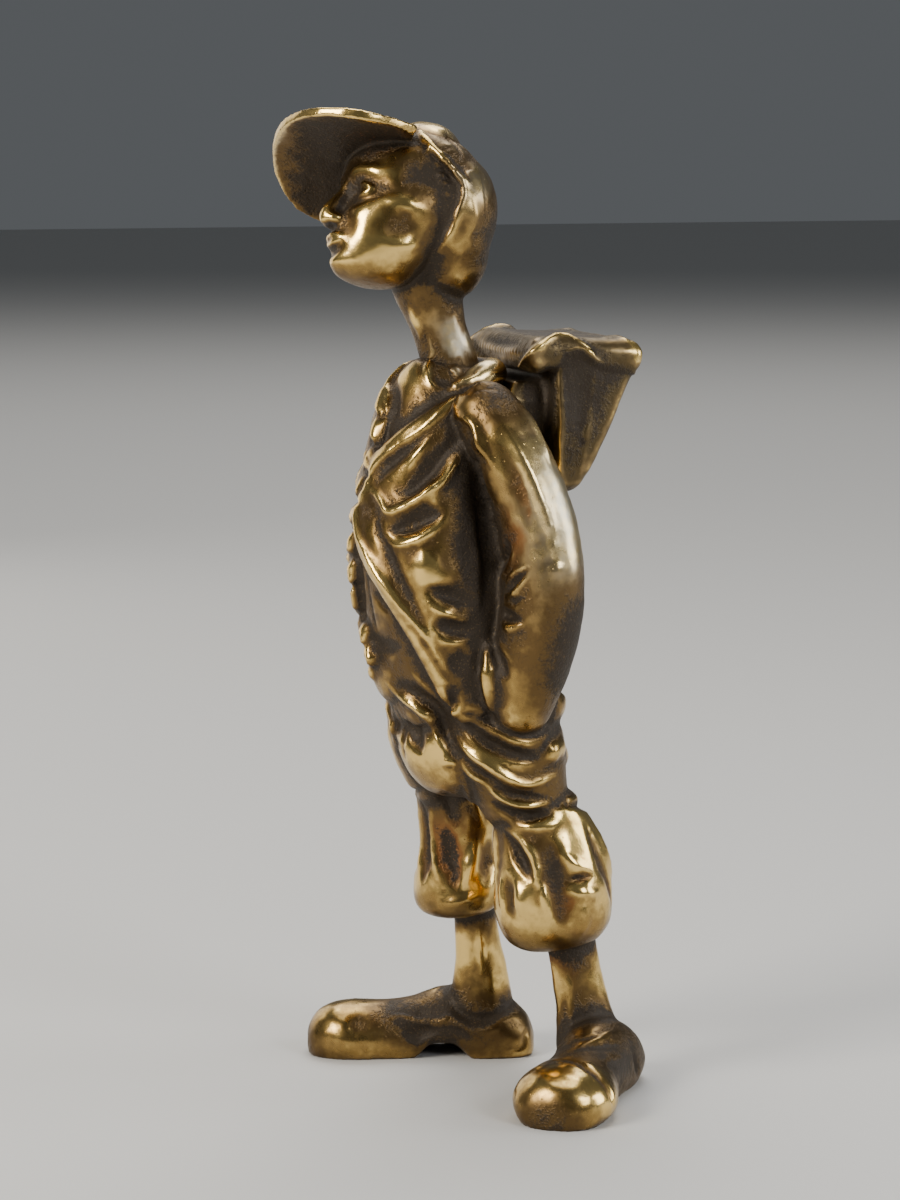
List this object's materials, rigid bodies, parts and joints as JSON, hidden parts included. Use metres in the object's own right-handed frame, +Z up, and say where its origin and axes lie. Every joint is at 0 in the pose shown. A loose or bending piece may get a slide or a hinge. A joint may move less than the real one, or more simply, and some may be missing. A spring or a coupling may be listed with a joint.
{
  "type": "hiker statuette",
  "caption": "Polished bronze statuette of a boy hiker standing with hands in pockets, cap tilted back, baggy knee breeches, big shoes and a rucksack; an ornament for a shelf.",
  "frame": {"origin": "on the ground, in the middle of the statuette's footprint", "axes": "+Z up; the boy faces -Y and his left side is +X"},
  "size_m": [0.0884, 0.077, 0.2107],
  "materials": {
    "figure_bronze": "polished on the high places, dark brown patina in the hollows",
    "rucksack_bronze": "rubbed edges over a dark brown patina"
  },
  "bodies": {
    "root": {"figure": "figure_bronze", "rucksack": "rucksack_bronze"}
  },
  "joints": []
}
